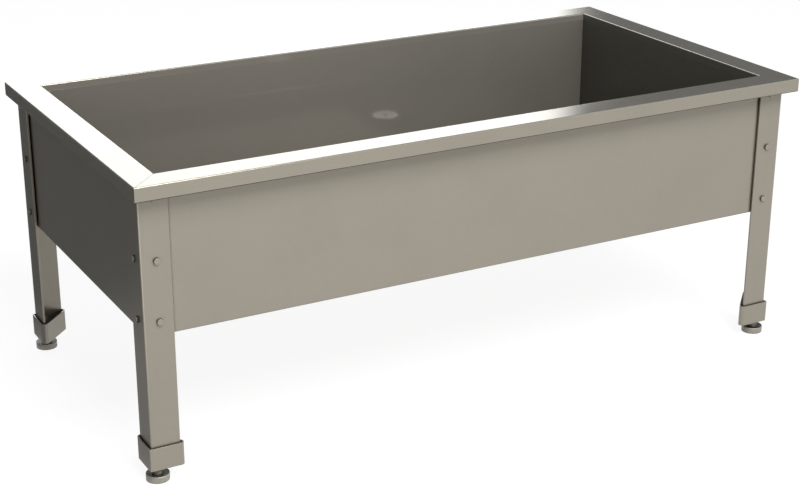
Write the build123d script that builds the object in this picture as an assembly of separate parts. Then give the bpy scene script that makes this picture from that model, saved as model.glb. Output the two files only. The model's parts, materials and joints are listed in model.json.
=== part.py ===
from build123d import *
import os

# Stainless wash trough on four screwed feet. Millimetres, +Z up, +X along the trough.
# The origin is on the ground, below the middle of the rim.

# ---- whole trough ----
rim_length = 1500.0
rim_width = 780.0
rim_height = 600.0

# ---- rim rails: one bent sheet each, mitred at the corners ----
rim_sheet = 2.0
rim_band = 60.0
rim_skirt = 29.0
rim_lip = 8.0
rim_inner_leg = 15.0
rim_inner_bend = 2.5
rim_outer_bend = 2.5
mitre_gap = 0.3
skirt_corner_gap = 3.0

# ---- bowl ----
bowl_sheet = 2.0
bowl_depth = 295.0
bowl_floor_bend = 12.0

# ---- floor bearers: hat channels welded under the bowl floor ----
bearer_sheet = 2.0
bearer_height = 25.0
bearer_crown = 40.0
bearer_flange = 20.0
bearer_bend = 2.0
bearer_from_end = 230.0
bearer_length = 560.0

# ---- apron panels ----
apron_sheet = 2.0
apron_drop = 304.0
apron_lip = 14.0
apron_bend = 1.5

# ---- legs: pressed angles, open towards the middle ----
leg_side_inset = 15.0
leg_front_inset = 32.0
leg_width = 58.5
leg_sheet = 5.0
leg_root_radius = 3.0
leg_spine_radius = 3.0
leg_edge_radius = 1.0

# ---- leg fasteners ----
bolt_shank = 8.0
bolt_head = 13.0
bolt_head_height = 4.5
bolt_head_edge = 1.2
bolt_rows = 3
bolt_first_drop = 36.0
bolt_pitch = 119.0
bolt_from_corner = 31.0
bolt_end = 2.0
bolt_clearance = 1.0
spacer_front = 1.0
spacer_side = 2.5
spacer_diameter = 16.0
spacer_clearance = 0.4
nut_across_flats = 13.0
nut_height = 6.5
nut_clearance = 0.1

# ---- boots: closed collars round the foot of each leg ----
boot_sheet = 2.5
boot_leg_gap = 2.5
boot_side = 82.0
boot_bend = 8.0
boot_corner_bend = 3.0
boot_height = 46.0
boot_bottom = 28.0

# ---- foot plates and welded nuts, inside the boots ----
plate_thickness = 5.0
plate_rise = 2.0
plate_hole_clearance = 1.0
foot_nut_across_flats = 19.0
foot_nut_height = 10.0
lock_nut_height = 8.0

# ---- screwed feet ----
stem_diameter = 12.0
stem_from_corner = 16.0
stem_running_gap = 0.05
foot_travel = 25.0
stem_spare = 1.0
stem_tip_chamfer = 1.0
pad_diameter = 45.5
pad_height = 13.5
pad_top_chamfer = 0.8
pad_hub_diameter = 22.0
pad_floor = 5.0
seat_gap = 0.3

# ---- waste fitting ----
drain_from_end = 380.0
drain_y = 0.0
drain_flange_diameter = 68.0
drain_flange_height = 3.0
drain_thread_diameter = 54.0
drain_thread_length = 20.0
drain_spigot_diameter = 50.0
drain_spigot_length = 60.0
drain_bore = 44.0
drain_hole_clearance = 2.0
drain_crossbar_width = 10.0
drain_crossbar_height = 6.0
drain_crossbar_drop = 4.0
drain_running_gap = 0.1
gasket_diameter = 72.0
gasket_thickness = 3.0
backnut_across_flats = 66.0
backnut_height = 9.0
strainer_diameter = 60.0
strainer_thickness = 1.5
strainer_gap = 0.2
strainer_hole = 6.0
strainer_ring_pitch = 9.5
strainer_rings = 2
strainer_screw = 6.0
strainer_screw_head = 11.0
strainer_screw_head_height = 2.5
strainer_screw_clearance = 0.1

# ---- places that follow from the sizes ----
half_length = rim_length / 2
half_width = rim_width / 2
top_underside = rim_height - rim_sheet
wall_top = rim_height - rim_inner_leg
floor_top = rim_height - bowl_depth
floor_underside = floor_top - bowl_sheet
bowl_half_length = half_length - rim_band
bowl_half_width = half_width - rim_band
bearer_x = bowl_half_length - bearer_from_end
drain_x = bowl_half_length - drain_from_end
apron_front_inset = leg_front_inset + leg_sheet + spacer_front
apron_side_inset = leg_side_inset + leg_sheet + spacer_side
apron_half_length = half_length - apron_side_inset
apron_half_width = half_width - apron_front_inset
apron_bottom = rim_height - apron_drop
leg_corner_x = -half_length + leg_side_inset
leg_corner_y = -half_width + leg_front_inset
boot_offset = boot_leg_gap + boot_sheet
plate_bottom = boot_bottom + plate_rise
plate_top = plate_bottom + plate_thickness
stem_x = leg_corner_x + stem_from_corner
stem_y = leg_corner_y + stem_from_corner
lock_nut_bottom = plate_bottom - lock_nut_height
foot_nut_top = plate_top + foot_nut_height
stem_top = foot_nut_top + foot_travel + stem_spare
bolt_heights = [rim_height - bolt_first_drop - row * bolt_pitch for row in range(bolt_rows)]
drain_flange_top = floor_top + drain_flange_height
drain_thread_bottom = floor_top - drain_thread_length
drain_end = drain_thread_bottom - drain_spigot_length
gasket_bottom = floor_underside - gasket_thickness


# ---- shared shapes ----
def block(x_low, x_high, y_low, y_high, z_low, z_high):
    """A box between two opposite corners."""
    size = Box(x_high - x_low, y_high - y_low, z_high - z_low)
    return Pos((x_low + x_high) / 2, (y_low + y_high) / 2, (z_low + z_high) / 2) * size


def rod(x, y, z_low, z_high, diameter):
    """An upright cylinder."""
    return Pos(x, y, (z_low + z_high) / 2) * Cylinder(diameter / 2, z_high - z_low)


def ring(x, y, z_low, z_high, outer, inner):
    """An upright tube or washer."""
    return rod(x, y, z_low, z_high, outer) - rod(x, y, z_low - 1, z_high + 1, inner)


def hexagon(x, y, z_low, z_high, across_flats, bore):
    """An upright hexagon nut with turned-off corners, flats square to Y and a plain bore for its thread."""
    outline = RegularPolygon(radius=across_flats / 2, side_count=6, major_radius=False, rotation=30)
    body = Pos(x, y, z_low) * extrude(outline, z_high - z_low)
    across_corners = across_flats * 2 / 3**0.5
    blank = rod(x, y, z_low, z_high, across_corners)
    ends = blank.edges().filter_by(GeomType.CIRCLE)
    corner_depth = (across_corners - across_flats) / 2
    corner_slope = 1.7
    turned = chamfer(ends, length=corner_depth / corner_slope, length2=corner_depth)
    return (body & turned) - rod(x, y, z_low - 1, z_high + 1, bore)


def side_points(points, distance):
    """The corners of a square-cornered path moved sideways, to its left where distance is positive."""
    moved = []
    last = len(points) - 1
    for index, point in enumerate(points):
        before = points[max(index - 1, 0)]
        after = points[min(index + 1, last)]
        sideways = Vector(0, 0)
        for start, end in ((before, point), (point, after)):
            if start == end:
                continue
            run = (Vector(*end) - Vector(*start)).normalized()
            normal = Vector(-run.Y, run.X)
            if abs(sideways.dot(normal)) < 0.5:
                sideways += normal
        moved.append(Vector(*point) + sideways * distance)
    return moved


def turn_side(before, point, after):
    """Positive where a path turns left."""
    first = Vector(*point) - Vector(*before)
    second = Vector(*after) - Vector(*point)
    return first.X * second.Y - first.Y * second.X


def sheet_section(points, thickness, bends):
    """A bent sheet's section: points run along its middle, bends are the inside radii."""
    corners = list(zip(points, points[1:], points[2:]))
    turns = [turn_side(*corner) for corner in corners]
    left_radii = [bend if turn > 0 else bend + thickness for bend, turn in zip(bends, turns)]
    right_radii = [bend if turn < 0 else bend + thickness for bend, turn in zip(bends, turns)]
    left = FilletPolyline(*side_points(points, thickness / 2), radius=left_radii)
    right = FilletPolyline(*side_points(points, -thickness / 2), radius=right_radii)
    start = Line(left @ 0, right @ 0)
    end = Line(left @ 1, right @ 1)
    return make_face([*left.edges(), *right.edges(), start.edge(), end.edge()])


def along_x(section, x_low, x_high):
    """A section drawn in Y and Z, drawn out along X."""
    return extrude(Plane.YZ.offset(x_low) * section, x_high - x_low)


def along_y(section, y_low, y_high):
    """A section drawn in X and Z, drawn out along Y."""
    turned = Plane(origin=(0, y_high, 0), x_dir=(1, 0, 0), z_dir=(0, -1, 0))
    return extrude(turned * section, y_high - y_low)


def outline_prism(points, z_low, z_high):
    """An upright prism on a plain outline."""
    return Pos(0, 0, z_low) * extrude(make_face(Polyline(*points, close=True)), z_high - z_low)


# ---- rim ----
def rim_section():
    """Across a rim rail, with 0 at its outer edge: lip, skirt, band and inner leg."""
    middle = rim_sheet / 2
    points = [
        (rim_lip, rim_height - rim_skirt + middle),
        (middle, rim_height - rim_skirt + middle),
        (middle, rim_height - middle),
        (rim_band - middle, rim_height - middle),
        (rim_band - middle, wall_top),
    ]
    outer = rim_outer_bend - rim_sheet
    inner = rim_inner_bend - rim_sheet
    return sheet_section(points, rim_sheet, [outer, outer, inner])


def rim_long_rail():
    """The front rail, mitred at both ends."""
    rail = along_x(Pos(-half_width, 0) * rim_section(), -half_length, half_length)
    shift = mitre_gap / 2
    depth = rim_band + 1
    plan = [
        (-half_length + shift, -half_width),
        (half_length - shift, -half_width),
        (half_length - shift - depth, -half_width + depth),
        (-half_length + shift + depth, -half_width + depth),
    ]
    return rail & outline_prism(plan, 0, rim_height + 1)


def rim_end_rail():
    """The left rail. Its skirt stops short of the long rails' skirts."""
    rail = along_y(Pos(-half_length, 0) * rim_section(), -half_width, half_width)
    shift = mitre_gap / 2
    depth = rim_band + 1
    plan = [
        (-half_length, -half_width + shift),
        (-half_length + depth, -half_width + shift + depth),
        (-half_length + depth, half_width - shift - depth),
        (-half_length, half_width - shift),
    ]
    rail = rail & outline_prism(plan, 0, rim_height + 1)
    notch_depth = rim_sheet + skirt_corner_gap
    notch_top = rim_height - rim_outer_bend
    for low in (-half_width, half_width - notch_depth):
        rail -= block(-half_length, -half_length + notch_depth, low, low + notch_depth, 0, notch_top)
    return rail


# ---- bowl ----
def bowl_shell():
    """Front wall, floor and rear wall, bent from one sheet, with the waste hole."""
    middle = bowl_sheet / 2
    wall = bowl_half_width + middle
    floor = floor_top - middle
    points = [(-wall, wall_top), (-wall, floor), (wall, floor), (wall, wall_top)]
    section = sheet_section(points, bowl_sheet, [bowl_floor_bend, bowl_floor_bend])
    shell = along_x(section, -bowl_half_length, bowl_half_length)
    hole = drain_thread_diameter + drain_hole_clearance
    return shell - rod(drain_x, drain_y, floor_underside - 1, floor_top + 1, hole)


def bowl_end():
    """The left end wall, cut to the outside of the bent sheet and welded to its edge."""
    outside = bowl_half_width + bowl_sheet
    wall = block(
        -bowl_half_length - bowl_sheet, -bowl_half_length, -outside, outside, floor_underside, wall_top
    )
    lower_edges = wall.edges().filter_by(Axis.X).group_by(Axis.Z)[0]
    return fillet(lower_edges, bowl_floor_bend + bowl_sheet)


def floor_bearer(x):
    """A hat channel across the bowl, flanges up against the floor."""
    middle = bearer_sheet / 2
    half = bearer_crown / 2 - middle
    top = floor_underside - middle
    crown = floor_underside - bearer_height + middle
    points = [
        (-half - bearer_flange, top),
        (-half, top),
        (-half, crown),
        (half, crown),
        (half, top),
        (half + bearer_flange, top),
    ]
    section = Pos(x, 0) * sheet_section(points, bearer_sheet, [bearer_bend] * 4)
    return along_y(section, -bearer_length / 2, bearer_length / 2)


# ---- aprons ----
def apron_section():
    """Across an apron, with 0 at its outer face: panel and inward lip."""
    middle = apron_sheet / 2
    points = [
        (middle, top_underside),
        (middle, apron_bottom + middle),
        (apron_lip, apron_bottom + middle),
    ]
    return sheet_section(points, apron_sheet, [apron_bend])


def apron_long():
    """The front apron, with its holes for the leg bolts."""
    panel = along_x(Pos(-apron_half_width, 0) * apron_section(), -apron_half_length, apron_half_length)
    bolt_x = leg_corner_x + bolt_from_corner
    for x in (bolt_x, -bolt_x):
        for z in bolt_heights:
            hole = Cylinder((bolt_shank + bolt_clearance) / 2, 4 * apron_sheet)
            panel -= Pos(x, -apron_half_width, z) * Rot(90, 0, 0) * hole
    return panel


def apron_end():
    """The left apron, butted between the long aprons and notched clear of their lips."""
    reach = apron_half_width - apron_sheet
    panel = along_y(Pos(-apron_half_length, 0) * apron_section(), -reach, reach)
    notch_top = apron_bottom + apron_sheet + apron_bend + seat_gap
    lip_end = -apron_half_length + apron_lip
    lip_reach = apron_half_width - apron_lip - seat_gap
    for low, high in ((-reach, -lip_reach), (lip_reach, reach)):
        panel -= block(-apron_half_length, lip_end, low, high, apron_bottom, notch_top)
    bolt_y = leg_corner_y + bolt_from_corner
    for y in (bolt_y, -bolt_y):
        for z in bolt_heights:
            hole = Cylinder((bolt_shank + bolt_clearance) / 2, 4 * apron_sheet)
            panel -= Pos(-apron_half_length, y, z) * Rot(0, 90, 0) * hole
    return panel


# ---- legs and their fasteners, drawn at the front left corner ----
def bolt_axes():
    """Where each bolt of a leg meets the leg's outer face, with +Z inwards, and the length of its spacer."""
    axes = []
    for z in bolt_heights:
        front = Pos(leg_corner_x + bolt_from_corner, leg_corner_y, z) * Rot(-90, 0, 0)
        side = Pos(leg_corner_x, leg_corner_y + bolt_from_corner, z) * Rot(0, 90, 0)
        axes += [(front, spacer_front), (side, spacer_side)]
    return axes


def leg_outline():
    """The angle's section, with its spine, root and edges rounded."""
    left = leg_corner_x
    front = leg_corner_y
    right = left + leg_width
    rear = front + leg_width
    root = (left + leg_sheet, front + leg_sheet)
    ends = [(right, front), (right, root[1]), (root[0], rear), (left, rear)]
    face = make_face(Polyline((left, front), *ends[:2], root, *ends[2:], close=True))
    rounds = [((left, front), leg_spine_radius), (root, leg_root_radius)]
    rounds += [(end, leg_edge_radius) for end in ends]
    for (x, y), radius in rounds:
        corner = face.vertices().sort_by_distance((x, y, 0))[0]
        face = fillet(corner, radius)
    return face


def leg():
    """A pressed angle from the foot plate up to the underside of the rim."""
    angle = Pos(0, 0, plate_top) * extrude(leg_outline(), top_underside - plate_top)
    for axis, _ in bolt_axes():
        angle -= axis * Cylinder((bolt_shank + bolt_clearance) / 2, 4 * leg_sheet)
    return angle


def leg_bolt(spacer):
    """A bolt with a low round head, its seat at 0 and its shank along +Z."""
    length = leg_sheet + spacer + apron_sheet + nut_height + bolt_end
    head = Pos(0, 0, -bolt_head_height / 2) * Cylinder(bolt_head / 2, bolt_head_height)
    edge = head.edges().filter_by(GeomType.CIRCLE).sort_by(Axis.Z)[0]
    head = fillet(edge, bolt_head_edge)
    shank = Pos(0, 0, length / 2) * Cylinder(bolt_shank / 2, length)
    return head + shank


def leg_spacer(spacer):
    """The distance ring between a leg and an apron."""
    middle = leg_sheet + spacer / 2
    body = Cylinder(spacer_diameter / 2, spacer) - Cylinder((bolt_shank + spacer_clearance) / 2, spacer + 2)
    return Pos(0, 0, middle) * body


def leg_nut(spacer):
    """The hexagon nut behind an apron."""
    seat = leg_sheet + spacer + apron_sheet
    return hexagon(0, 0, seat, seat + nut_height, nut_across_flats, bolt_shank + nut_clearance)


def fastener_group(make):
    """One fastener at each of a leg's bolt holes."""
    return Compound([(axis * make(spacer)).solid() for axis, spacer in bolt_axes()])


# ---- boots and feet, drawn at the front left corner ----
def boot_outline(inset):
    """The boot's rounded triangle, moved inwards by an inset."""
    x = leg_corner_x - boot_offset + inset
    y = leg_corner_y - boot_offset + inset
    side = boot_side - inset * (2 + 2**0.5)
    face = make_face(Polyline((x, y), (x + side, y), (x, y + side), close=True))
    corners = face.vertices().sort_by_distance((x, y, 0))
    face = fillet(corners[1:], boot_bend - inset)
    corner = face.vertices().sort_by_distance((x, y, 0))[0]
    return fillet(corner, boot_corner_bend - inset)


def boot():
    """A closed three-sided collar round the leg's foot."""
    body = extrude(boot_outline(0), boot_height) - extrude(boot_outline(boot_sheet), boot_height)
    return Pos(0, 0, boot_bottom) * body


def foot_plate():
    """The plate welded across the boot, on which the leg stands."""
    body = Pos(0, 0, plate_bottom) * extrude(boot_outline(boot_sheet), plate_thickness)
    hole = stem_diameter + plate_hole_clearance
    return body - rod(stem_x, stem_y, plate_bottom - 1, plate_top + 1, hole)


def foot_nut():
    """The nut welded on the plate, in which the stem turns."""
    bore = stem_diameter + 2 * stem_running_gap
    return hexagon(stem_x, stem_y, plate_top, foot_nut_top, foot_nut_across_flats, bore)


def lock_nut():
    """The nut that locks the stem from below."""
    bore = stem_diameter + 2 * stem_running_gap
    return hexagon(stem_x, stem_y, lock_nut_bottom, plate_bottom, foot_nut_across_flats, bore)


def foot_stem():
    """The threaded stem, from the pad's socket to its top end."""
    stem = rod(stem_x, stem_y, pad_floor + seat_gap, stem_top, stem_diameter)
    tips = stem.edges().filter_by(GeomType.CIRCLE)
    return chamfer(tips, stem_tip_chamfer)


def foot_pad():
    """The round pad, its hub and the blind socket for the stem."""
    pad = rod(stem_x, stem_y, 0, pad_height, pad_diameter)
    top_edge = pad.edges().filter_by(GeomType.CIRCLE).sort_by(Axis.Z)[-1]
    pad = chamfer(top_edge, pad_top_chamfer)
    pad += rod(stem_x, stem_y, 0, lock_nut_bottom - seat_gap, pad_hub_diameter)
    return pad - rod(stem_x, stem_y, pad_floor, lock_nut_bottom, stem_diameter + 2 * stem_running_gap)


# ---- waste fitting ----
def drain_body():
    """Flange, threaded neck and spigot, with a crossbar for the strainer's screw."""
    flange = rod(drain_x, drain_y, floor_top, drain_flange_top, drain_flange_diameter)
    edge = flange.edges().filter_by(GeomType.CIRCLE).sort_by(Axis.Z)[-1]
    flange = chamfer(edge, drain_flange_height / 3)
    neck = rod(drain_x, drain_y, drain_thread_bottom, floor_top, drain_thread_diameter)
    spigot = rod(drain_x, drain_y, drain_end, drain_thread_bottom, drain_spigot_diameter)
    body = flange + neck + spigot
    body -= rod(drain_x, drain_y, drain_end - 1, drain_flange_top + 1, drain_bore)
    seat = drain_flange_top - strainer_thickness
    body -= rod(drain_x, drain_y, seat, drain_flange_top + 1, strainer_diameter + 2 * strainer_gap)
    bar_top = seat - drain_crossbar_drop
    bar_half = drain_bore / 2 + 1
    body += block(
        drain_x - bar_half,
        drain_x + bar_half,
        drain_y - drain_crossbar_width / 2,
        drain_y + drain_crossbar_width / 2,
        bar_top - drain_crossbar_height,
        bar_top,
    )
    screw_hole = strainer_screw + strainer_screw_clearance
    return body - rod(drain_x, drain_y, bar_top - drain_crossbar_height - 1, bar_top + 1, screw_hole)


def drain_strainer():
    """The perforated disc in the flange."""
    top = drain_flange_top
    disc = rod(drain_x, drain_y, top - strainer_thickness, top, strainer_diameter)
    disc -= rod(drain_x, drain_y, top - strainer_thickness - 1, top + 1, strainer_screw + 1)
    for ring_number in range(1, strainer_rings + 1):
        count = 6 * ring_number
        for place in PolarLocations(ring_number * strainer_ring_pitch, count):
            cutter = Cylinder(strainer_hole / 2, 4 * strainer_thickness)
            disc -= Pos(drain_x, drain_y, top) * place * cutter
    return disc


def drain_screw():
    """The strainer's screw, from its low head down through the crossbar."""
    seat = drain_flange_top
    bar_bottom = seat - strainer_thickness - drain_crossbar_drop - drain_crossbar_height
    head = rod(drain_x, drain_y, seat, seat + strainer_screw_head_height, strainer_screw_head)
    edge = head.edges().filter_by(GeomType.CIRCLE).sort_by(Axis.Z)[-1]
    head = fillet(edge, strainer_screw_head_height / 2)
    return head + rod(drain_x, drain_y, bar_bottom, seat, strainer_screw)


def drain_gasket():
    """The rubber ring under the bowl floor."""
    bore = drain_thread_diameter + 2 * drain_running_gap
    return ring(drain_x, drain_y, gasket_bottom, floor_underside, gasket_diameter, bore)


def drain_backnut():
    """The large nut that clamps the fitting to the floor."""
    bore = drain_thread_diameter + 2 * drain_running_gap
    return hexagon(
        drain_x, drain_y, gasket_bottom - backnut_height, gasket_bottom, backnut_across_flats, bore
    )


# ---- the pieces by name ----
def flip_x(shape):
    return mirror(shape, about=Plane.YZ)


def flip_y(shape):
    return mirror(shape, about=Plane.XZ)


pieces = {
    "rim_front": rim_long_rail(),
    "rim_rear": flip_y(rim_long_rail()),
    "rim_left": rim_end_rail(),
    "rim_right": flip_x(rim_end_rail()),
    "bowl_shell": bowl_shell(),
    "bowl_end_left": bowl_end(),
    "bowl_end_right": flip_x(bowl_end()),
    "floor_bearer_left": floor_bearer(-bearer_x),
    "floor_bearer_middle": floor_bearer(0),
    "floor_bearer_right": floor_bearer(bearer_x),
    "apron_front": apron_long(),
    "apron_rear": flip_y(apron_long()),
    "apron_left": apron_end(),
    "apron_right": flip_x(apron_end()),
    "drain_body": drain_body(),
    "drain_strainer": drain_strainer(),
    "drain_strainer_screw": drain_screw(),
    "drain_gasket": drain_gasket(),
    "drain_backnut": drain_backnut(),
}

corner_pieces = {
    "leg": leg(),
    "leg_bolts": fastener_group(leg_bolt),
    "leg_spacers": fastener_group(leg_spacer),
    "leg_nuts": fastener_group(leg_nut),
    "boot": boot(),
    "foot_plate": foot_plate(),
    "foot_nut": foot_nut(),
    "foot_lock_nut": lock_nut(),
    "foot_stem": foot_stem(),
    "foot_pad": foot_pad(),
}

for name, shape in corner_pieces.items():
    pieces[name + "_front_left"] = shape
    pieces[name + "_front_right"] = flip_x(shape)
    pieces[name + "_rear_left"] = flip_y(shape)
    pieces[name + "_rear_right"] = flip_x(flip_y(shape))

os.makedirs("parts", exist_ok=True)
for name, shape in pieces.items():
    export_step(shape, "parts/" + name + ".step")
print(len(pieces), "pieces")
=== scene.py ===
import json
import math

import bpy
from mathutils import Euler, Matrix, Vector

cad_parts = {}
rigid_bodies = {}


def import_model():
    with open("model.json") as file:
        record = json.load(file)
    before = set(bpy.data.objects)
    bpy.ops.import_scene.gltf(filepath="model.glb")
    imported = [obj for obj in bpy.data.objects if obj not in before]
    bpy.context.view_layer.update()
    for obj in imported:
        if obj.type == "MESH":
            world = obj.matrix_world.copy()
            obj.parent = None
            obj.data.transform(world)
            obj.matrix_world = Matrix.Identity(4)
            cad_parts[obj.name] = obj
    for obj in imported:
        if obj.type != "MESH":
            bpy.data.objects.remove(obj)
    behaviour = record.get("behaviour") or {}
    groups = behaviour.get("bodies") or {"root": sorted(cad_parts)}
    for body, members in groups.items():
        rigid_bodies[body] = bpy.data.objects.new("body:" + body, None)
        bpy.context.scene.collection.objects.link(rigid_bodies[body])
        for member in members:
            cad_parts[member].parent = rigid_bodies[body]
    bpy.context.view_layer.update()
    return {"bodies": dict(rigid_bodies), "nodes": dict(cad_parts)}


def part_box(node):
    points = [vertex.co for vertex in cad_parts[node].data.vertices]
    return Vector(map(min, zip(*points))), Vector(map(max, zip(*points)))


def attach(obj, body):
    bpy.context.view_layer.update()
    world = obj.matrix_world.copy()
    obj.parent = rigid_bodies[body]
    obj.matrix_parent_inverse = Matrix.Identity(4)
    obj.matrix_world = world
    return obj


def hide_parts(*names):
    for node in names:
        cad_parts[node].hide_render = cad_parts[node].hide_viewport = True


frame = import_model()

# ---- sizes shared with the CAD model, in metres ----
THREAD_PITCH = 0.00175
THREAD_DEPTH = 0.00095
THREAD_SIDES = 32
THREAD_STEPS_PER_TURN = 6
THREAD_TAPER = 0.0011
THREAD_GROOVE_SLOPE = 1.15
CORNERS = ("front_left", "front_right", "rear_left", "rear_right")


# ---- node helpers ----
class Nodes:
    """Adds and links shader nodes in one tree."""

    def __init__(self, tree):
        self.tree = tree
        tree.nodes.clear()

    def add(self, kind, **settings):
        made = self.tree.nodes.new(kind)
        for key, value in settings.items():
            setattr(made, key, value)
        return made

    def link(self, source, target):
        self.tree.links.new(source, target)

    def give(self, value, socket):
        """Sets a socket to a number or colour, or links it."""
        if isinstance(value, (int, float, tuple)):
            socket.default_value = value
        else:
            self.link(value, socket)

    def math(self, operation, a, b):
        made = self.add("ShaderNodeMath", operation=operation)
        self.give(a, made.inputs[0])
        self.give(b, made.inputs[1])
        return made.outputs[0]

    def remap(self, value, low, high, out_low, out_high):
        made = self.add("ShaderNodeMapRange")
        self.link(value, made.inputs["Value"])
        for key, number in (("From Min", low), ("From Max", high), ("To Min", out_low), ("To Max", out_high)):
            made.inputs[key].default_value = number
        return made.outputs["Result"]

    def noise(self, position, scale, detail=3.0):
        mapping = self.add("ShaderNodeMapping")
        self.link(position, mapping.inputs["Vector"])
        mapping.inputs["Scale"].default_value = scale
        made = self.add("ShaderNodeTexNoise")
        self.link(mapping.outputs[0], made.inputs["Vector"])
        made.inputs["Scale"].default_value = 1.0
        made.inputs["Detail"].default_value = detail
        return made.outputs["Fac"]

    def mix_colour(self, factor, a, b):
        made = self.add("ShaderNodeMix", data_type="RGBA")
        self.link(factor, made.inputs["Factor"])
        for socket, value in ((made.inputs[6], a), (made.inputs[7], b)):
            if isinstance(value, tuple):
                socket.default_value = (*value, 1.0)
            else:
                self.link(value, socket)
        return made.outputs[2]


def scaled(colour, factor):
    return tuple(min(1.0, c * factor) for c in colour)


def steel(
    name,
    colour,
    roughness,
    grain,
    metal=0.4,
    streak=0.012,
    edge=1.12,
    bump=0.015,
    round_by=0.0012,
    painted_shade_below=None,
    painted_recess_shade=None,
    zones=None,
):
    """Satin stainless steel: grain along one axis, faint stains, edges lighter partly for wear and partly as
    a painted highlight, and painted shade in recesses.

    The shade below a height takes that height and a factor: painted shade below it. The shade in recesses
    takes a distance, the openness that is dark and the openness that
    is plain, and the dark factor: painted shade where ambient occlusion finds nearby surfaces.
    """
    material = bpy.data.materials.new(name)
    material.use_nodes = True
    n = Nodes(material.node_tree)
    position = n.add("ShaderNodeTexCoord").outputs["Object"]
    lines = n.noise(position, grain, 4.0)
    stains = n.noise(position, (7.0, 7.0, 7.0), 4.0)
    mottle = n.noise(position, (90.0, 90.0, 90.0), 2.0)
    bevel = n.add("ShaderNodeBevel", samples=4)
    bevel.inputs["Radius"].default_value = round_by
    normal = n.add("ShaderNodeNewGeometry").outputs["Normal"]
    dot = n.add("ShaderNodeVectorMath", operation="DOT_PRODUCT")
    n.link(bevel.outputs[0], dot.inputs[0])
    n.link(normal, dot.inputs[1])
    shade = n.remap(lines, 0.3, 0.7, 1 - streak, 1 + streak)
    shade = n.math("MULTIPLY", shade, n.remap(stains, 0.45, 0.75, 1.0, 0.965))
    shade = n.math("MULTIPLY", shade, n.remap(mottle, 0.4, 0.7, 1.0, 1.0125))
    # Edges lighter in colour: partly wear, partly a painted highlight.
    shade = n.math("MULTIPLY", shade, n.remap(dot.outputs["Value"], 0.97, 0.80, 1.0, edge))
    # Painted shade: darker below a given height, with a ragged edge.
    if painted_shade_below is not None:
        level, factor = painted_shade_below
        parts = n.add("ShaderNodeSeparateXYZ")
        n.link(position, parts.inputs[0])
        ragged = n.math("ADD", parts.outputs["Z"], n.remap(stains, 0.3, 0.7, -0.004, 0.004))
        shade = n.math("MULTIPLY", shade, n.remap(ragged, level, level - 0.012, 1.0, factor))
    # Painted shade: the colour darkens where ambient occlusion finds nearby surfaces.
    if painted_recess_shade is not None:
        distance, closed, clear, factor = painted_recess_shade
        hidden = n.add("ShaderNodeAmbientOcclusion", samples=6)
        hidden.inputs["Distance"].default_value = distance
        shade = n.math("MULTIPLY", shade, n.remap(hidden.outputs["AO"], closed, clear, factor, 1.0))
    if zones is not None:
        colour, metal, roughness, zone_shade = zones(n, position, normal)
        shade = n.math("MULTIPLY", shade, zone_shade)
    tone = n.add("ShaderNodeVectorMath", operation="SCALE")
    n.give(colour, tone.inputs[0])
    n.link(shade, tone.inputs["Scale"])
    rough = n.math("ADD", n.remap(lines, 0.3, 0.7, -0.01, 0.01), n.remap(stains, 0.35, 0.7, -0.01, 0.02))
    rough = n.math("ADD", rough, roughness)
    relief = n.add("ShaderNodeBump")
    relief.inputs["Strength"].default_value = bump
    relief.inputs["Distance"].default_value = 0.0002
    n.link(lines, relief.inputs["Height"])
    n.link(bevel.outputs[0], relief.inputs["Normal"])
    shader = n.add("ShaderNodeBsdfPrincipled")
    n.give(metal, shader.inputs["Metallic"])
    n.link(tone.outputs[0], shader.inputs["Base Color"])
    n.link(rough, shader.inputs["Roughness"])
    n.link(relief.outputs[0], shader.inputs["Normal"])
    n.link(shader.outputs[0], n.add("ShaderNodeOutputMaterial").inputs["Surface"])
    return material


def rim_zones(inner_colour, inner_metal, inner_roughness):
    """The zones of a rail: brushed band with mitre seams, satin skirt, the bowl's finish inside, and painted
    shade on faces that look down.
    """

    def zones(n, position, normal):
        place = n.add("ShaderNodeSeparateXYZ")
        n.link(position, place.inputs[0])
        facing = n.add("ShaderNodeSeparateXYZ")
        n.link(normal, facing.inputs[0])
        along = n.math("SUBTRACT", n.math("ABSOLUTE", place.outputs["X"], 0.0), INNER_X)
        across = n.math("SUBTRACT", n.math("ABSOLUTE", place.outputs["Y"], 0.0), INNER_Y)
        upright = n.remap(facing.outputs["Z"], 0.5, 0.3, 0.0, 1.0)
        inner = n.remap(n.math("MAXIMUM", along, across), 0.004, 0.003, 0.0, 1.0)
        inner = n.math("MULTIPLY", inner, upright)
        colour = n.mix_colour(inner, n.mix_colour(upright, RIM, WARM), inner_colour)
        values = []
        for band, skirt, leg in ((0.7, 0.4, inner_metal), (0.12, 0.30, inner_roughness)):
            outer = n.remap(upright, 0.0, 1.0, band, skirt)
            values.append(n.math("ADD", outer, n.math("MULTIPLY", inner, leg - skirt)))
        seam = n.math("ABSOLUTE", n.math("SUBTRACT", along, across), 0.0)
        seam = n.math("MAXIMUM", n.remap(seam, 0.0005, 0.0014, 0.3, 1.0), upright)
        # Painted shade: faces that look down are darkened.
        below = n.remap(facing.outputs["Z"], -0.05, -0.4, 1.0, 0.12)
        return colour, *values, n.math("MULTIPLY", seam, below)

    return zones


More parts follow.
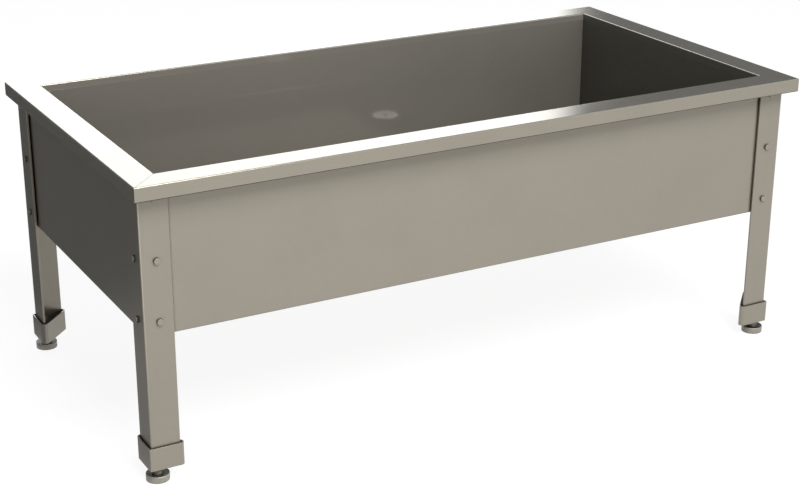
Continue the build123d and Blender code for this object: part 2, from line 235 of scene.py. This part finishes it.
def rubber(name, colour):
    """Matt black rubber with a fine moulded texture."""
    material = bpy.data.materials.new(name)
    material.use_nodes = True
    n = Nodes(material.node_tree)
    position = n.add("ShaderNodeTexCoord").outputs["Object"]
    grain = n.noise(position, (900.0, 900.0, 900.0), 3.0)
    dust = n.noise(position, (60.0, 60.0, 60.0), 3.0)
    tone = n.mix_colour(n.remap(dust, 0.4, 0.7, 0.0, 1.0), colour, scaled(colour, 1.8))
    relief = n.add("ShaderNodeBump")
    relief.inputs["Strength"].default_value = 0.3
    relief.inputs["Distance"].default_value = 0.0002
    n.link(grain, relief.inputs["Height"])
    shader = n.add("ShaderNodeBsdfPrincipled")
    n.link(tone, shader.inputs["Base Color"])
    n.link(n.remap(grain, 0.3, 0.7, 0.62, 0.78), shader.inputs["Roughness"])
    n.link(relief.outputs[0], shader.inputs["Normal"])
    n.link(shader.outputs[0], n.add("ShaderNodeOutputMaterial").inputs["Surface"])
    return material


def bend_highlight_zones(n, position, normal):
    """Legs and boots, with a painted highlight along the upright bend at the corner of the trough."""
    place = n.add("ShaderNodeSeparateXYZ")
    n.link(position, place.inputs[0])
    facing = n.add("ShaderNodeSeparateXYZ")
    n.link(normal, facing.inputs[0])
    outward = []
    for axis in ("X", "Y"):
        side = n.math("SIGN", place.outputs[axis], 0.0)
        outward.append(n.math("MAXIMUM", n.math("MULTIPLY", facing.outputs[axis], side), 0.0))
    bend = n.remap(n.math("MULTIPLY", *outward), 0.08, 0.35, 1.0, 1.6)
    return WARM, 0.4, 0.30, bend


def pad_shade_zones(n, position, normal):
    """Painted shade, in patches, on the upward faces of a foot pad."""
    facing = n.add("ShaderNodeSeparateXYZ")
    n.link(normal, facing.inputs[0])
    patches = n.noise(position, (160.0, 160.0, 160.0), 3.0)
    painted_shade = n.remap(facing.outputs["Z"], 0.75, 0.95, 0.0, 1.0)
    painted_shade = n.math("MULTIPLY", painted_shade, n.remap(patches, 0.3, 0.7, 0.85, 0.72))
    return PAD, 0.3, 0.42, n.math("SUBTRACT", 1.0, painted_shade)


# ---- finishes ----
ALONG_X = (6.0, 1500.0, 1500.0)
ALONG_Y = (1500.0, 6.0, 1500.0)
ALONG_Z = (1500.0, 1500.0, 6.0)
FINE = (500.0, 500.0, 500.0)
WARM = (0.395, 0.361, 0.297)
RIM = (0.375, 0.350, 0.298)
BOWL = (0.58, 0.545, 0.478)
# Painted shade: the end walls are a darker copy of the bowl's steel, for the shade that falls on them.
BOWL_END_SHADED = (0.25, 0.247, 0.230)
BRIGHT = (0.40, 0.375, 0.325)
PAD = (0.51, 0.48, 0.415)
# The bowl's inner faces, where the rails' bands begin.
INNER_X = 0.690
INNER_Y = 0.330

rear_leg = rim_zones(BOWL, 0.55, 0.05)
# The rails along the ends carry the end walls' painted shade on their inner lip.
end_leg_shaded = rim_zones(BOWL_END_SHADED, 0.9, 0.20)

# The occlusion settings paint shade into the colours: contact lines on the aprons by the legs, inside legs
# and boots, dark side walls on bolt heads, and under the boots on the pads.
finish = {
    "rim_x": steel("rim_brushed_x", RIM, 0.12, ALONG_X, round_by=0.0004, zones=rear_leg),
    "rim_y": steel("rim_brushed_y", RIM, 0.12, ALONG_Y, round_by=0.0004, zones=end_leg_shaded),
    # The bowl's floor is painted darker below the bend as painted shade, and its corners and lower walls
    # darken by painted occlusion shade.
    "bowl": steel(
        "bowl_satin",
        BOWL,
        0.05,
        ALONG_X,
        metal=0.55,
        round_by=0.0003,
        painted_shade_below=(0.322, 0.3),
        painted_recess_shade=(0.6, 0.3, 0.8, 0.62),
    ),
    # The end walls: a darker, painted-shade copy of the bowl's steel.
    "bowl_end": steel(
        "bowl_end_painted_shade", BOWL_END_SHADED, 0.20, ALONG_Y, metal=0.9, round_by=0.0003, painted_recess_shade=(0.6, 0.3, 0.8, 0.75)
    ),
    "apron_x": steel("apron_satin_x", WARM, 0.30, ALONG_X, painted_recess_shade=(0.010, 0.68, 0.80, 0.35)),
    "apron_y": steel("apron_satin_y", WARM, 0.30, ALONG_Y, painted_recess_shade=(0.010, 0.68, 0.80, 0.35)),
    # Legs: edges and the upright bend carry a painted highlight.
    "leg": steel(
        "leg_satin", WARM, 0.30, ALONG_Z, edge=1.5, painted_recess_shade=(0.012, 0.15, 0.85, 0.2), zones=bend_highlight_zones
    ),
    "boot": steel("boot_satin", WARM, 0.32, ALONG_Z, painted_recess_shade=(0.02, 0.15, 0.75, 0.25), zones=bend_highlight_zones),
    "frame": steel("frame_mill", WARM, 0.38, FINE, painted_recess_shade=(0.03, 0.15, 0.85, 0.12)),
    "drain": steel("drain_blasted", (0.92, 0.91, 0.88), 0.40, FINE, metal=0.0, bump=0.1),
    "bolt": steel("bolt_satin", BRIGHT, 0.30, FINE, round_by=0.0006, painted_recess_shade=(0.02, 0.52, 0.85, 0.03)),
    "fastener": steel("fastener_bright", BRIGHT, 0.32, FINE, metal=0.6, painted_recess_shade=(0.02, 0.15, 0.85, 0.12)),
    # Painted shade on the pads: on their upward faces and by occlusion under the boots.
    "pad": steel(
        "pad_turned", PAD, 0.30, ALONG_Z, round_by=0.0005, painted_recess_shade=(0.06, 0.15, 0.55, 0.1), zones=pad_shade_zones
    ),
    "gasket": rubber("gasket_rubber", (0.02, 0.02, 0.02)),
}

by_start = [
    ("rim_front", "rim_x"),
    ("rim_rear", "rim_x"),
    ("rim_left", "rim_y"),
    ("rim_right", "rim_y"),
    ("bowl_end", "bowl_end"),
    ("bowl_", "bowl"),
    ("floor_bearer", "frame"),
    ("apron_front", "apron_x"),
    ("apron_rear", "apron_x"),
    ("apron_left", "apron_y"),
    ("apron_right", "apron_y"),
    ("drain_gasket", "gasket"),
    ("drain_backnut", "fastener"),
    ("drain_strainer_screw", "fastener"),
    ("drain_", "drain"),
    ("leg_bolts", "bolt"),
    ("leg_spacers", "fastener"),
    ("leg_nuts", "fastener"),
    ("leg_", "leg"),
    ("boot_", "boot"),
    ("foot_plate", "frame"),
    ("foot_pad", "pad"),
    ("foot_", "fastener"),
]


def finish_of(node_name):
    return finish[next(key for start, key in by_start if node_name.startswith(start))]


for node_name, obj in frame["nodes"].items():
    obj.data.materials.clear()
    obj.data.materials.append(finish_of(node_name))


# ---- pieces ----
def new_piece(name, vertices, faces, material, smooth=True):
    mesh = bpy.data.meshes.new(name)
    mesh.from_pydata(vertices, [], faces)
    mesh.validate()
    mesh.polygons.foreach_set("use_smooth", [smooth] * len(mesh.polygons))
    mesh.materials.append(material)
    made = bpy.data.objects.new(name, mesh)
    bpy.context.scene.collection.objects.link(made)
    return made


def threaded_stem(name, node_name, material):
    """A stem with a real helical thread, on the place of its plain CAD cylinder."""
    low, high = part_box(node_name)
    x = (low.x + high.x) / 2
    y = (low.y + high.y) / 2
    outer = (high.x - low.x) / 2
    levels = int((high.z - low.z) / THREAD_PITCH * THREAD_STEPS_PER_TURN)
    vertices = []
    for level in range(levels + 1):
        z = low.z + (high.z - low.z) * level / levels
        from_tip = min(z - low.z, high.z - z)
        limit = outer - max(0.0, THREAD_TAPER - from_tip)
        for side in range(THREAD_SIDES):
            angle = 2 * math.pi * side / THREAD_SIDES
            turn = (z - low.z) / THREAD_PITCH - side / THREAD_SIDES
            phase = abs((turn % 1.0) - 0.5) * 2
            radius = min(limit, outer - THREAD_DEPTH * max(0.0, 1 - phase * THREAD_GROOVE_SLOPE))
            vertices.append((x + radius * math.cos(angle), y + radius * math.sin(angle), z))
    faces = []
    for level in range(levels):
        for side in range(THREAD_SIDES):
            after = (side + 1) % THREAD_SIDES
            a = level * THREAD_SIDES
            b = a + THREAD_SIDES
            faces.append((a + side, a + after, b + after, b + side))
    faces.append(tuple(range(THREAD_SIDES))[::-1])
    last = levels * THREAD_SIDES
    faces.append(tuple(range(last, last + THREAD_SIDES)))
    return new_piece(name, vertices, faces, material)


for corner in CORNERS:
    node_name = "foot_stem_" + corner
    stem = threaded_stem("threaded_stem_" + corner, node_name, finish["fastener"])
    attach(stem, node_name)
    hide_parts(node_name)


# ---- floor ----
def seen_directly(n):
    """1 for rays from the camera, and for mirrored and transmitted ones."""
    path = n.add("ShaderNodeLightPath")
    seen = n.math("MAXIMUM", path.outputs["Is Camera Ray"], path.outputs["Is Glossy Ray"])
    return n.math("MAXIMUM", seen, path.outputs["Is Transmission Ray"])


def floor_material():
    """Pale from above and clear from below, so that the underside can be looked at."""
    material = bpy.data.materials.new("pale_floor")
    material.use_nodes = True
    n = Nodes(material.node_tree)
    seen = seen_directly(n)
    diffuse = n.add("ShaderNodeBsdfDiffuse")
    diffuse.inputs["Color"].default_value = (0.25, 0.25, 0.25, 1.0)
    glow = n.add("ShaderNodeEmission")
    n.link(n.math("MULTIPLY", seen, 0.90), glow.inputs["Strength"])
    both = n.add("ShaderNodeAddShader")
    n.link(diffuse.outputs[0], both.inputs[0])
    n.link(glow.outputs[0], both.inputs[1])
    one_way = n.add("ShaderNodeMixShader")
    n.link(n.add("ShaderNodeNewGeometry").outputs["Backfacing"], one_way.inputs[0])
    n.link(both.outputs[0], one_way.inputs[1])
    n.link(n.add("ShaderNodeBsdfTransparent").outputs[0], one_way.inputs[2])
    n.link(one_way.outputs[0], n.add("ShaderNodeOutputMaterial").inputs["Surface"])
    return material


def plane(name, low, high, z, material):
    corners = [(low[0], low[1], z), (high[0], low[1], z), (high[0], high[1], z), (low[0], high[1], z)]
    made = new_piece(name, corners, [(0, 1, 2, 3)], material, smooth=False)
    return made


def keep_below(obj, bodies):
    """Holds an object below the lowest of these bodies, as the ground is under the longest foot."""
    for body in bodies:
        hold = obj.constraints.new("FLOOR")
        hold.target = body
        hold.floor_location = "FLOOR_NEGATIVE_Z"


FLOOR_HALF = 30.0
floor = plane("studio_floor", (-FLOOR_HALF, -FLOOR_HALF), (FLOOR_HALF, FLOOR_HALF), 0.0, floor_material())
keep_below(floor, [frame["bodies"]["foot_pad_" + corner] for corner in CORNERS])


def glossy_only(obj):
    obj.visible_camera = False
    obj.visible_diffuse = False
    obj.visible_transmission = False
    obj.visible_shadow = False
    obj.visible_volume_scatter = False


def card_material(name, near, far, fade_in, turn_dark):
    """A dim card that fades in along +Y and then turns darker, so that metal shows no hard edge."""
    material = bpy.data.materials.new(name)
    material.use_nodes = True
    n = Nodes(material.node_tree)
    position = n.add("ShaderNodeTexCoord").outputs["Object"]
    parts = n.add("ShaderNodeSeparateXYZ")
    n.link(position, parts.inputs[0])
    dim = n.add("ShaderNodeEmission")
    n.link(n.mix_colour(n.remap(parts.outputs["Y"], *turn_dark, 0.0, 1.0), near, far), dim.inputs["Color"])
    clear = n.add("ShaderNodeBsdfTransparent")
    blend = n.add("ShaderNodeMixShader")
    n.link(n.remap(parts.outputs["Y"], *fade_in, 0.0, 1.0), blend.inputs[0])
    n.link(clear.outputs[0], blend.inputs[1])
    n.link(dim.outputs[0], blend.inputs[2])
    n.link(blend.outputs[0], n.add("ShaderNodeOutputMaterial").inputs["Surface"])
    return material


side_look = card_material("side_card", (0.34, 0.34, 0.34), (0.13, 0.137, 0.14), (-0.9, -0.6), (0.25, 0.6))
side_card = plane("side_card", (-8.0, -1.0), (-0.752, 8.0), 0.002, side_look)
side_card.parent = floor
glossy_only(side_card)


# ---- studio light ----
# Directions are degrees from +Y towards +X; heights are the upward part of a direction.
PANEL_LEFT = (-4.0, 6.0)
PANEL_RIGHT = (34.2, 35.3)
PANEL_TOP = (0.62, 0.80)
PANEL_EXTRA = 1.7
RIGHT_FLAG_END = (70.0, 100.0)
LEFT_FLAG_END = (-110.0, -90.0)
SECOND_REFLECTION = 0.3
FILL_LEFT = 0.115
FILL_RIGHT = 0.42
KEY_PLACE = (-0.1, -3.2, 3.9)
KEY_TARGET = (-1.4, 0.0, 0.3)
KEY_SIZE = (2.4, 2.4)
KEY_POWER = 164.0


def studio_world():
    """White behind the object. Reflections see a bright panel at the back and a dark flag on either side.

    Second and later reflections are dimmed, and the fill is weaker from the left.
    """
    world = bpy.data.worlds.new("studio")
    world.use_nodes = True
    n = Nodes(world.node_tree)
    direction = n.add("ShaderNodeTexCoord").outputs["Generated"]
    parts = n.add("ShaderNodeSeparateXYZ")
    n.link(direction, parts.inputs[0])
    turn = n.math("ARCTAN2", parts.outputs["X"], parts.outputs["Y"])
    degrees = n.math("MULTIPLY", turn, 180 / math.pi)
    height = parts.outputs["Z"]
    left_edge = n.remap(degrees, *PANEL_LEFT, 0.0, 1.0)
    right_edge = n.remap(degrees, *PANEL_RIGHT, 1.0, 0.0)
    high_edge = n.remap(height, *PANEL_TOP, 1.0, 0.0)
    panel = n.math("MULTIPLY", n.math("MULTIPLY", left_edge, right_edge), high_edge)
    right_flag = n.math("SUBTRACT", 1.0, right_edge)
    right_flag = n.math("MULTIPLY", right_flag, n.remap(degrees, *RIGHT_FLAG_END, 1.0, 0.0))
    right_flag = n.math("MULTIPLY", right_flag, high_edge)
    left_flag = n.math("SUBTRACT", 1.0, left_edge)
    left_flag = n.math("MULTIPLY", left_flag, n.remap(degrees, *LEFT_FLAG_END, 0.0, 1.0))
    left_flag = n.math("MULTIPLY", left_flag, high_edge)
    tone = n.mix_colour(right_flag, (0.9, 0.9, 0.9), (0.17, 0.175, 0.18))
    tone = n.mix_colour(left_flag, tone, (0.22, 0.23, 0.24))
    tone = n.mix_colour(panel, tone, (0.97, 0.985, 1.0))
    path = n.add("ShaderNodeLightPath")
    strength = n.math("ADD", n.math("MULTIPLY", panel, PANEL_EXTRA), 1.0)
    dimming = n.remap(path.outputs["Glossy Depth"], 1.4, 1.6, 1.0, SECOND_REFLECTION)
    strength = n.math("MULTIPLY", strength, dimming)
    mirrored = n.add("ShaderNodeBackground")
    n.link(tone, mirrored.inputs["Color"])
    n.link(strength, mirrored.inputs["Strength"])
    plain = n.add("ShaderNodeBackground")
    plain.inputs["Color"].default_value = (1.0, 1.0, 1.0, 1.0)
    fill = n.add("ShaderNodeBackground")
    n.link(n.remap(parts.outputs["X"], -0.5, 0.1, FILL_LEFT, FILL_RIGHT), fill.inputs["Strength"])
    first = n.add("ShaderNodeMixShader")
    n.link(path.outputs["Is Glossy Ray"], first.inputs[0])
    n.link(fill.outputs[0], first.inputs[1])
    n.link(mirrored.outputs[0], first.inputs[2])
    second = n.add("ShaderNodeMixShader")
    direct = n.math("MAXIMUM", path.outputs["Is Camera Ray"], path.outputs["Is Transmission Ray"])
    n.link(direct, second.inputs[0])
    n.link(first.outputs[0], second.inputs[1])
    n.link(plain.outputs[0], second.inputs[2])
    n.link(second.outputs[0], n.add("ShaderNodeOutputWorld").inputs["Surface"])
    bpy.context.scene.world = world


def area_light(name, position, target, size, power):
    light = bpy.data.lights.new(name, "AREA")
    light.shape = "RECTANGLE"
    light.size, light.size_y = size
    light.energy = power
    made = bpy.data.objects.new(name, light)
    bpy.context.scene.collection.objects.link(made)
    made.location = position
    aim = [t - p for t, p in zip(target, position)]
    made.rotation_mode = "QUATERNION"
    made.rotation_quaternion = Vector(aim).to_track_quat("-Z", "Y")
    made.visible_camera = False
    return made


studio_world()
area_light("key", KEY_PLACE, KEY_TARGET, KEY_SIZE, KEY_POWER)

# ---- camera ----
CAMERA_PLACE = (-1.6505, -2.9819, 1.5393)
CAMERA_TURN = 28.833
CAMERA_TILT = 21.059
CAMERA_ROLL = 0.094
FOCAL_PIXELS = 1654.2
PHOTO_WIDTH = 800
SENSOR = 36.0

camera_data = bpy.data.cameras.new("camera")
camera_data.sensor_fit = "HORIZONTAL"
camera_data.sensor_width = SENSOR
camera_data.lens = FOCAL_PIXELS / PHOTO_WIDTH * SENSOR
camera = bpy.data.objects.new("camera", camera_data)
bpy.context.scene.collection.objects.link(camera)
camera.location = CAMERA_PLACE
level_view = Euler((math.radians(90 - CAMERA_TILT), 0.0, math.radians(-CAMERA_TURN))).to_matrix()
camera.rotation_euler = (level_view @ Matrix.Rotation(math.radians(CAMERA_ROLL), 3, "Z")).to_euler()
bpy.context.scene.camera = camera
bpy.context.scene.view_settings.view_transform = "Standard"
